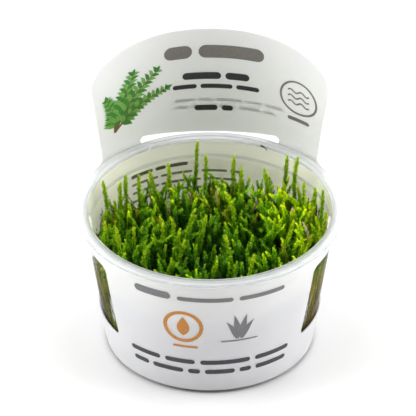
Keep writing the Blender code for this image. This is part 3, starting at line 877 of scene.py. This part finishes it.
class Leaves:
    """Leaves and stems of many shoots, gathered in one mesh with a growth attribute."""

    def __init__(self):
        self.points = []
        self.triangles = []
        self.growth = []
        self.count = 0

    def add(self, points, triangles, ages, tone, leaf_tones):
        growth = np.ones((len(points), 4))
        growth[:, 0] = ages
        growth[:, 1] = tone
        growth[:, 2] = leaf_tones
        self.points.append(points)
        self.triangles.append(triangles + self.count)
        self.growth.append(growth)
        self.count += len(points)

    def shoot(self, rng, path, width, tone, leaves_per_mm=17.0, leaf=(1.25, 0.46), age=(0.0, 1.0),
              stem_radius=0.2):
        """One shoot along a path of points in mm, foot first, clad in small folded leaves.

        width is the shoot's full width over its leaves; leaf is the length and width of one leaf.
        """
        path = np.asarray(path, float)
        steps = np.linalg.norm(np.diff(path, axis=0), axis=1)
        lengths = np.concatenate([[0.0], np.cumsum(steps)])
        total = lengths[-1]
        number = int(total * leaves_per_mm)
        at = np.sort(rng.uniform(0.0, 1.0, number)) * total
        foot, ahead, behind = (np.stack([np.interp(at + step, lengths, path[:, k]) for k in range(3)], axis=1)
                               for step in (0.0, 0.4, -0.4))
        along = unit(ahead - behind)
        turn = np.arange(number) * LEAF_TURN + rng.normal(0.0, 0.5, number)
        outward = around(along, turn[:, None])
        to_tip = total - at
        taper = np.clip(0.42 + to_tip / 5.0, 0.0, 1.0)
        length = leaf[0] * taper ** 0.5 * rng.uniform(0.75, 1.25, number)
        half = 0.5 * leaf[1] * taper ** 0.3 * rng.uniform(0.8, 1.2, number)
        reach = np.clip(0.5 * width * taper * rng.uniform(0.55, 1.15, number) / length, 0.12, 0.96)
        way = along * np.sqrt(1.0 - reach ** 2)[:, None] + outward * reach[:, None]
        side = unit(np.cross(way, outward + 0.001))
        twist = rng.normal(0.0, 0.5, number)[:, None]
        face = np.cross(side, way)
        side = unit(side * np.cos(twist) + face * np.sin(twist))
        face = np.cross(side, way)
        foot = foot + outward * stem_radius * 0.5
        middle = foot + way * (0.42 * length)[:, None]
        fold = face * (0.45 * half)[:, None]
        left = middle + side * half[:, None] - fold
        right = middle - side * half[:, None] - fold
        tip = foot + way * length[:, None] + along * (0.12 * length)[:, None]
        points = np.stack([foot, right, tip, left], axis=1).reshape(-1, 3)
        base = 4 * np.arange(number)[:, None]
        triangles = np.stack([base + [0, 1, 2], base + [0, 2, 3]], axis=1).reshape(-1, 3)
        ages = age[0] + (age[1] - age[0]) * at / total
        self.add(points, triangles, np.repeat(ages, 4), tone, np.repeat(rng.uniform(0.0, 1.0, number), 4))
        self.stem(path, stem_radius, age, tone)

    def stem(self, path, radius, age, tone, sides=4):
        """The stem itself, a thin tapered tube."""
        count = len(path)
        along = unit(np.gradient(path, axis=0))
        radii = radius * (1.0 - 0.75 * np.linspace(0.0, 1.0, count) ** 2)
        turns = 2.0 * pi * np.arange(sides) / sides
        spokes = around(along[:, None], turns[None, :, None])
        points = (path[:, None] + spokes * radii[:, None, None]).reshape(-1, 3)
        faces = []
        for i in range(count - 1):
            for k in range(sides):
                a, b = i * sides + k, i * sides + (k + 1) % sides
                faces.append((a, b, b + sides))
                faces.append((a, b + sides, a + sides))
        for first, order in ((0, (0, 2, 1)), ((count - 1) * sides, (0, 1, 2))):
            for k in range(1, sides - 1):
                corners = (first, first + k, first + k + 1)
                faces.append(tuple(corners[n] for n in order))
        ages = age[0] + (age[1] - age[0]) * np.linspace(0.0, 1.0, count)
        self.add(points, np.array(faces), 0.8 * np.repeat(ages, sides), tone, 0.3)

    def finish(self, name, material, slot, replaced=(), clearance=0.15):
        """The gathered mesh as a piece, kept off the cup's wall."""
        points = inside_cup(np.concatenate(self.points), clearance)
        triangles = np.concatenate(self.triangles)
        growth = np.concatenate(self.growth)
        mesh = bpy.data.meshes.new(name)
        mesh.vertices.add(len(points))
        mesh.vertices.foreach_set("co", (points * MM).astype(np.float32).ravel())
        mesh.loops.add(3 * len(triangles))
        mesh.loops.foreach_set("vertex_index", triangles.astype(np.int32).ravel())
        mesh.polygons.add(len(triangles))
        mesh.polygons.foreach_set("loop_start", np.arange(0, 3 * len(triangles), 3, dtype=np.int32))
        mesh.update(calc_edges=True)
        attribute = mesh.attributes.new("growth", "FLOAT_COLOR", "POINT")
        attribute.data.foreach_set("color", growth.astype(np.float32).ravel())
        mesh.shade_smooth()
        add_piece(name, mesh, material, replaced)


def unit(vectors):
    return vectors / np.maximum(np.linalg.norm(vectors, axis=-1, keepdims=True), 1e-9)


def around(along, turn):
    """Directions square to others, turned round them by an angle."""
    across = unit(np.cross(along, SIDEWAYS))
    return across * np.cos(turn) + np.cross(along, across) * np.sin(turn)


def inside_cup(points, clearance):
    """The points drawn in to stay clear of the cup's wall and floor."""
    z = points[:, 2]
    limit = np.minimum(cup_inner(np.clip(z, 0.0, BAND_TOP)), MOUTH_RADIUS - 0.2 - STEP_WIDTH) - clearance
    radius = np.hypot(points[:, 0], points[:, 1])
    drawn = points.copy()
    drawn[:, :2] *= np.minimum(1.0, limit / np.maximum(radius, 1e-6))[:, None]
    drawn[:, 2] = np.maximum(z, FLOOR + 0.4)
    return drawn


def curved_path(foot, tip, sway, nod=(0.0, 0.0, 0.0), steps=12, waver=None):
    """A path from foot to tip that bows by sway in its middle and bends by nod near its tip.

    waver, if given, is the amplitude and phase of a slow wave along the path.
    """
    foot, tip, sway, nod = (np.array(v, float) for v in (foot, tip, sway, nod))
    t = np.linspace(0.0, 1.0, steps)[:, None]
    path = foot + (tip - foot) * t + sway * 4.0 * t * (1.0 - t) + nod * (t ** 4 - t)
    if waver:
        amplitude, phase = waver
        path[:, 0] += amplitude * np.sin(phase + 9.0 * t[:, 0]) * t[:, 0]
        path[:, 1] += amplitude * np.cos(1.7 * phase + 8.0 * t[:, 0]) * t[:, 0]
    return path


def leaning_path(rng, x, y, top, length, lean, sway, steps):
    """A path from under a place up to a height, which leans and bows at random."""
    across, along = rng.normal(0.0, lean, 2)
    return curved_path((x, y, top - length), (x + across, y + along, top),
                       (*rng.normal(0.0, sway, 2), 0.0), steps=steps)


def tall_shoot_path(shoot):
    """The CAD shoot's middle line."""
    tip_x, tip_y, tip_z, root_x, root_y, sway = shoot
    root = np.array((root_x, root_y, canopy(root_x, root_y) - SHOOT_SEAT))
    tip = np.array((tip_x, tip_y, tip_z))
    t = np.linspace(0.0, 1.0, 11)[:, None]
    path = root + (tip - root) * t
    path[:, 0] += (4.0 * sway * t * (1.0 - t))[:, 0]
    return path


def make_tall_shoots(material):
    rng = np.random.default_rng(7)
    for number, shoot in enumerate(SHOOTS, start=1):
        leaves = Leaves()
        path = tall_shoot_path(shoot)
        leaves.shoot(rng, path, 2.2, rng.uniform(0.5, 0.95), age=(0.25, 1.0), leaves_per_mm=22.0)
        leaves.finish(f"shoot_leaves_{number:02d}", material, "shoot", [f"moss_shoot_{number:02d}"])


def scattered(rng, count, radius, jitter):
    """Points spread evenly over a disc by the golden angle, each moved a little."""
    golden = pi * (3.0 - sqrt(5.0))
    for i in range(count):
        reach = radius * sqrt((i + 0.5) / count)
        shift = rng.normal(0.0, jitter, 2)
        yield reach * cos(i * golden) + shift[0], reach * sin(i * golden) + shift[1]


def hollow_depth(x, y):
    """How deep in a dark hollow a place is: 0 outside and 1 at its middle."""
    return max(max(0.0, 1.0 - hypot(x - across, y - along) / reach) for across, along, reach in HOLLOWS)


def liveliness_and_hollow_shade(x, y):
    """How bright the shoots are: in clumps, brightest on the right and a little on the left, darker from the
    back towards the front, and darker in the hollows as painted shade.
    """
    clump = 0.16 * sin(0.33 * x + 0.8) * sin(0.29 * y + 2.0) + 0.1 * sin(0.71 * x + 0.53 * y)
    sides = 0.9 * smooth((x - 14.0) / 20.0) + 0.04 * smooth((-x - 22.0) / 14.0)
    # The darkening in the hollows is painted shade.
    return clump + sides - 0.3 * smooth((18.0 - y) / 24.0) - 0.5 * hollow_depth(x, y)


def make_undergrowth(material):
    """The low shoots between the taller ones, in a left and a right piece, their colour held to the darker
    part of the age ramp as painted shade.
    """
    rng = np.random.default_rng(5)
    fields = [Leaves(), Leaves()]
    for x, y in scattered(rng, UNDERGROWTH_SHOOTS, 42.6, 0.6):
        top = moss_top(x, y) - 5.8 - 4.0 * hollow_depth(x, y) + rng.normal(0.0, 1.3)
        path = leaning_path(rng, x, y, top, 11.0, 1.3, 0.5, 6)
        tone = min(max(rng.uniform(0.1, 0.5) + liveliness_and_hollow_shade(x, y), 0.05), 0.8)
        # Ages stop at 0.6, so the low shoots are painted darker as shade.
        fields[int(x > 0.0)].shoot(rng, path, rng.uniform(2.2, 3.0), tone, leaves_per_mm=12.0,
                                   leaf=(1.3, 0.46), age=(0.0, 0.6))
    for name, field in zip(("left", "right"), fields):
        field.finish("moss_undergrowth_" + name, material, "moss", ["moss_cushion"])


def make_canopy(material):
    """The shoots that make the moss's upper face, gathered in five pieces from left to right."""
    rng = np.random.default_rng(11)
    fields = [Leaves() for _ in range(5)]
    for x, y in scattered(rng, CANOPY_SHOOTS, 42.4, 0.9):
        depth = hollow_depth(x, y)
        fresh = rng.uniform() < (0.24 if x < 26.0 else 0.55)
        top = moss_top(x, y) + np.clip(rng.normal(-0.2, 2.1), -5.0, 3.0) - 6.5 * depth
        tone = rng.normal(0.36, 0.22) + liveliness_and_hollow_shade(x, y)
        width = rng.uniform(1.7, 2.5)
        lean = rng.normal(0.0, 1.7, 2)
        if fresh:
            top += rng.uniform(0.3, 2.4 if y < 16.0 else 4.0)
            tone += 0.34
            width = rng.uniform(1.4, 1.9)
            lean *= 1.5
        if rng.uniform() < 0.05:
            tone = 0.0
        tip = (x + lean[0], y + lean[1], top)
        foot = (x - 0.5 * lean[0], y - 0.5 * lean[1], top - rng.uniform(14.0, 19.0))
        path = curved_path(foot, tip, (*rng.normal(0.0, 0.9, 2), 0.0), (*rng.normal(0.0, 2.0, 2), -0.4),
                           waver=(rng.uniform(0.1, 0.7), rng.uniform(0.0, 6.0)))
        if depth > 0.45:
            continue
        tone = 0.0 if tone == 0.0 else min(max(tone, 0.08), 1.0)
        field = fields[min(max(int((x + MOSS_RADIUS) / (2.0 * MOSS_RADIUS) * 5.0), 0), 4)]
        field.shoot(rng, path, width, tone, leaves_per_mm=20.0, leaf=(1.0, 0.38))
        if rng.uniform() < 0.15:
            start = path[-4] if rng.uniform() < 0.5 else path[-3]
            way = rng.normal(0.0, 1.0, 2)
            way = way / np.linalg.norm(way) * rng.uniform(1.6, 3.0)
            end = start + np.array((way[0], way[1], rng.uniform(2.4, 4.2)))
            branch = curved_path(start, end, (0.0, 0.0, -0.3), steps=5)
            field.shoot(rng, branch, 1.5, tone, leaves_per_mm=15.0, leaf=(1.0, 0.4), age=(0.7, 1.0),
                        stem_radius=0.14)
    for name, field in zip(("left", "middle_left", "middle", "middle_right", "right"), fields):
        field.finish("moss_" + name, material, "moss", ["moss_cushion"])


def make_fronds(bright, dead):
    """A few fresh fronds that lie brightly on the rest, and a few dead beige shoots."""
    rng = np.random.default_rng(17)
    fresh = Leaves()
    for tip_x, tip_y, tip_z, foot_x, foot_y, length in FRONDS:
        foot = (foot_x, foot_y, tip_z - length)
        path = curved_path(foot, (tip_x, tip_y, tip_z), (*rng.normal(0.0, 0.5, 2), 0.0), steps=10,
                           waver=(0.3, rng.uniform(0.0, 6.0)))
        fresh.shoot(rng, path, 1.9, rng.uniform(0.7, 1.0), age=(0.3, 1.0), leaves_per_mm=20.0,
                    leaf=(1.2, 0.44))
    fresh.finish("moss_bright_fronds", bright, "moss", ["moss_cushion"])
    pale = Leaves()
    for x, y in DEAD_SHOOTS:
        top = moss_top(x, y) + 2.2
        path = leaning_path(rng, x, y, top, 7.0, 1.4, 0.6, 8)
        pale.shoot(rng, path, 1.5, rng.uniform(0.3, 1.0), leaves_per_mm=12.0, leaf=(1.1, 0.42))
    pale.finish("moss_dead_shoots", dead, "moss", ["moss_cushion"])


def make_stray_shoot(material):
    """A scrap of dark moss that sticks to the wall under the flange, at the back on the right."""
    rng = np.random.default_rng(31)
    scrap = Leaves()
    path = curved_path((18.9, 40.9, 57.1), (21.3, 39.8, 55.9), (0.2, 0.0, 0.3), steps=8)
    scrap.shoot(rng, path, 0.9, 0.1, leaves_per_mm=14.0, leaf=(0.7, 0.3), age=(0.1, 0.4), stem_radius=0.16)
    scrap.finish("moss_stray_shoot", material, "moss", clearance=-1.9)


def make_bed(side, top_finish):
    """The old moss under the shoots, a lumpy body that fills the cup down to the gel.

    Its side is pressed on the wall, a hair inside the plastic, so that it shows as soaked moss does there.
    """
    pressed = 0.03
    top = 40.0
    bend = 30.0
    wall_start = 37.0

    def lumpy(azimuth, r, z):
        x, y = r * cos(azimuth), r * sin(azimuth)
        height = z
        if z > bend:
            near_wall = smooth((r - wall_start) / 4.0)
            surface = canopy(x, y) - 9.0 + near_wall * (4.5 + 4.0 * beside(x))
            surface += 1.1 * sin(0.9 * x + 0.4) * sin(0.85 * y - 0.7) * (1.0 - 0.6 * near_wall)
            height = bend + (z - bend) / (top - bend) * (surface - bend)
        if r > cup_inner(z):
            r += cup_inner(height) - cup_inner(z)
        return r, height

    low = GEL_TOP + 0.3
    outline = [(0.0, top)] + [(2.0 * k, top) for k in range(1, 22)]
    outline += [(cup_inner(z) + pressed, z) for z in (top, 37.0, 34.0, bend, 27.0, 23.0, 19.0, 15.0, 11.0)]
    outline += [(cup_inner(low) - 2.0, low), (0.0, low)]
    mesh = turned_mesh("moss_bed", outline, BED_SEGMENTS, lumpy)
    add_piece("moss_bed", mesh, side)
    mesh.materials.append(top_finish)
    for face in mesh.polygons:
        face.material_index = int(face.normal.z > 0.6 and hypot(*face.center[:2]) < wall_start * MM)


def make_wall_moss(material):
    """Old stems and fronds pressed on the cup's wall, seen through the sleeve's windows."""
    rng = np.random.default_rng(23)
    leaves = Leaves()
    for i in range(WALL_STEMS):
        azimuth = 2.0 * pi * (i + rng.uniform(-0.4, 0.4)) / WALL_STEMS
        top_x, top_y = MOSS_RADIUS * cos(azimuth), MOSS_RADIUS * sin(azimuth)
        top = moss_top(top_x, top_y) + rng.normal(-3.5, 1.4) + 2.6 * beside(top_x)
        low = GEL_TOP + rng.uniform(0.8, 16.0)
        drift = rng.normal(0.0, 0.03)
        path = []
        for k in range(10):
            t = k / 9
            z = low + (top - low) * t
            turn = azimuth + drift * t + 0.012 * sin(9.0 * t + i)
            inset = -0.02 + 0.1 * sin(5.0 * t + 2.0 * i)
            r = cup_inner(min(z, 47.0)) - inset
            path.append((r * cos(turn), r * sin(turn), z))
        leaves.shoot(rng, path, 1.2, rng.uniform(0.0, 1.0), leaves_per_mm=2.5, leaf=(1.3, 0.44),
                     stem_radius=rng.uniform(0.12, 0.28))
    leaves.finish("moss_by_the_wall", material, "moss", ["moss_cushion"], clearance=-0.2)


def make_moss():
    # The fresh and tall leaves' age ramps run from dark feet to pale tips: the dark feet are partly older
    # growth and partly painted shade deep in the moss.
    tones = [(0.0, (1.0, 0.62, 1.1)), (0.06, (0.42, 0.6, 0.8)), (0.5, (0.95, 1.0, 1.0)),
             (0.85, (1.3, 1.18, 1.0)), (1.0, (1.7, 1.36, 1.1))]
    fresh = moss_material("moss_leaves", [
        (0.0, (0.008, 0.028, 0.001)), (0.4, (0.055, 0.19, 0.003)), (0.68, (0.17, 0.45, 0.006)),
        (0.86, (0.42, 0.78, 0.012)), (1.0, (0.72, 0.95, 0.028))], tones)
    bright = moss_material("moss_tall_leaves", [
        (0.0, (0.05, 0.16, 0.004)), (0.4, (0.22, 0.48, 0.007)), (0.75, (0.46, 0.74, 0.013)),
        (1.0, (0.7, 0.88, 0.03))],
        [(0.0, (0.7, 0.85, 0.9)), (0.6, (1.0, 1.0, 1.0)), (1.0, (1.25, 1.12, 1.0))])
    old = moss_material("moss_old_leaves", [
        (0.0, (0.08, 0.065, 0.014)), (0.4, (0.13, 0.11, 0.02)), (0.75, (0.17, 0.17, 0.028)),
        (1.0, (0.12, 0.32, 0.01))],
        [(0.0, (0.55, 0.6, 0.5)), (0.5, (1.0, 1.0, 1.0)), (1.0, (1.9, 1.7, 1.4))])
    dead = moss_material("moss_dead_leaves", [(0.0, (0.7, 0.58, 0.42)), (1.0, (0.9, 0.8, 0.64))],
                         [(0.0, (0.6, 0.6, 0.6)), (1.0, (1.1, 1.1, 1.1))])
    make_undergrowth(fresh)
    make_canopy(fresh)
    make_tall_shoots(bright)
    make_fronds(bright, dead)
    make_stray_shoot(fresh)
    make_bed(bed_side_material(), bed_top_material())
    make_wall_moss(old)


def make_gel(finish):
    """The disc of nutrient gel, with its edge drawn up the wall."""
    high = GEL_TOP - 0.4
    low = FLOOR + CLEARANCE + 0.25
    corners = [(0.0, high, 0.0), (30.0, high, 8.0), (cup_inner(GEL_TOP) - 1.6, high, 0.6),
               (cup_inner(GEL_TOP) - 0.45, GEL_TOP, 0.1), (cup_inner(3.4) - 0.45, 3.4, 2.0),
               (cup_inner(FLOOR) - 2.6, low + 0.1, 0.6), (0.0, low + 0.35, 0.0)]
    mesh = turned_mesh("gel_disc", filleted(corners), GEL_SEGMENTS)
    add_piece("gel_disc", mesh, finish, ["nutrient_gel"])


# Floor and light

def make_stage():
    size = 4.0
    mesh = bpy.data.meshes.new("floor")
    mesh.from_pydata([(-size, -size, 0.0), (size, -size, 0.0), (size, size, 0.0), (-size, size, 0.0)],
                     [], [(0, 1, 2, 3)])
    finish = Finish("pale_floor", Roughness=0.9, Specular_IOR_Level=0.1)
    finish.mottle(3.0, (0.93, 0.93, 0.93), (0.94, 0.94, 0.94))
    mesh.materials.append(finish.made)
    floor = linked("floor", mesh)
    floor.location.z = -0.0003


def softbox(name, place, size, power):
    """A square area light in metres that looks at the cup."""
    light = bpy.data.lights.new(name, "AREA")
    light.shape = "SQUARE"
    light.size = size
    light.energy = power
    made = linked(name, light)
    made.location = place
    aim = Vector((0.0, 0.0, 0.04)) - Vector(place)
    made.rotation_euler = aim.to_track_quat("-Z", "Y").to_euler()


def make_light():
    """Three softboxes in a room that is a dim light, and white as seen straight or through plastic."""
    world = bpy.data.worlds.new("studio")
    bpy.context.scene.world = world
    world.use_nodes = True
    room = Nodes(world.node_tree)
    ray = room.node("LightPath").outputs
    depth = room.ranged(room.axes("Generated")["Y"], 0.0, 1.0, -1.0, 1.0)
    light = room.ramp(depth, [(0.2, (0.1, 0.1, 0.1)), (0.8, (0.26, 0.26, 0.26))])
    unlit = room.math("LESS_THAN", ray["Diffuse Depth"], 0.5)
    white = room.math("MULTIPLY_ADD", ray["Is Transmission Ray"], unlit, ray["Is Camera Ray"])
    seen = room.mixed("MIX", white, light, (1.0, 1.0, 1.0, 1.0))
    room.put(seen, world.node_tree.nodes["Background"].inputs["Color"])
    softbox("top_light", (0.0, 0.1, 1.6), 1.4, 19.5)
    for name, side in (("left_light", -1.0), ("right_light", 1.0)):
        softbox(name, (side, -0.03, 0.5), 0.8, 8.6)
    bpy.context.scene.view_settings.view_transform = "Standard"


def main():
    make_camera()
    make_light()
    make_stage()
    # The clear wall's slight yellow tint is partly the plastic's own and partly painted green light bounced
    # off the moss.
    make_cup(clear_plastic("clear_wall", (0.985, 0.985, 0.86), 1.03, 1.0, 160.0, (0.02, 0.1)),
             clear_plastic("milky_rim", (0.93, 0.945, 0.955), 1.25, 0.65, 220.0, (0.2, 0.3)),
             # Greyer plastic on the step's ledge: a painted shade line.
             clear_plastic("step_edge_painted_shade", (0.66, 0.68, 0.64), 1.12, 0.85, 220.0, (0.1, 0.25)))
    make_sleeve(sleeve_sheet())
    make_gel(gel_material())
    dark = ink("dark_ink", (0.055, 0.055, 0.06))
    make_header_print(ink("warm_grey_ink", (0.26, 0.24, 0.225)), dark, ink("green_ink", (0.08, 0.33, 0.05)),
                      ink("light_green_ink", (0.24, 0.54, 0.12)), ink("brown_ink", (0.28, 0.18, 0.08)))
    make_front_print(ink("grey_ink", (0.2, 0.2, 0.205)), dark, ink("orange_ink", (0.6, 0.24, 0.04)))
    make_back_print(ink("pale_grey_ink", (0.6, 0.6, 0.6)), ink("heading_ink", (0.2, 0.2, 0.17)),
                    ink("row_ink", (0.36, 0.36, 0.3), 0.05))
    make_moss()


main()
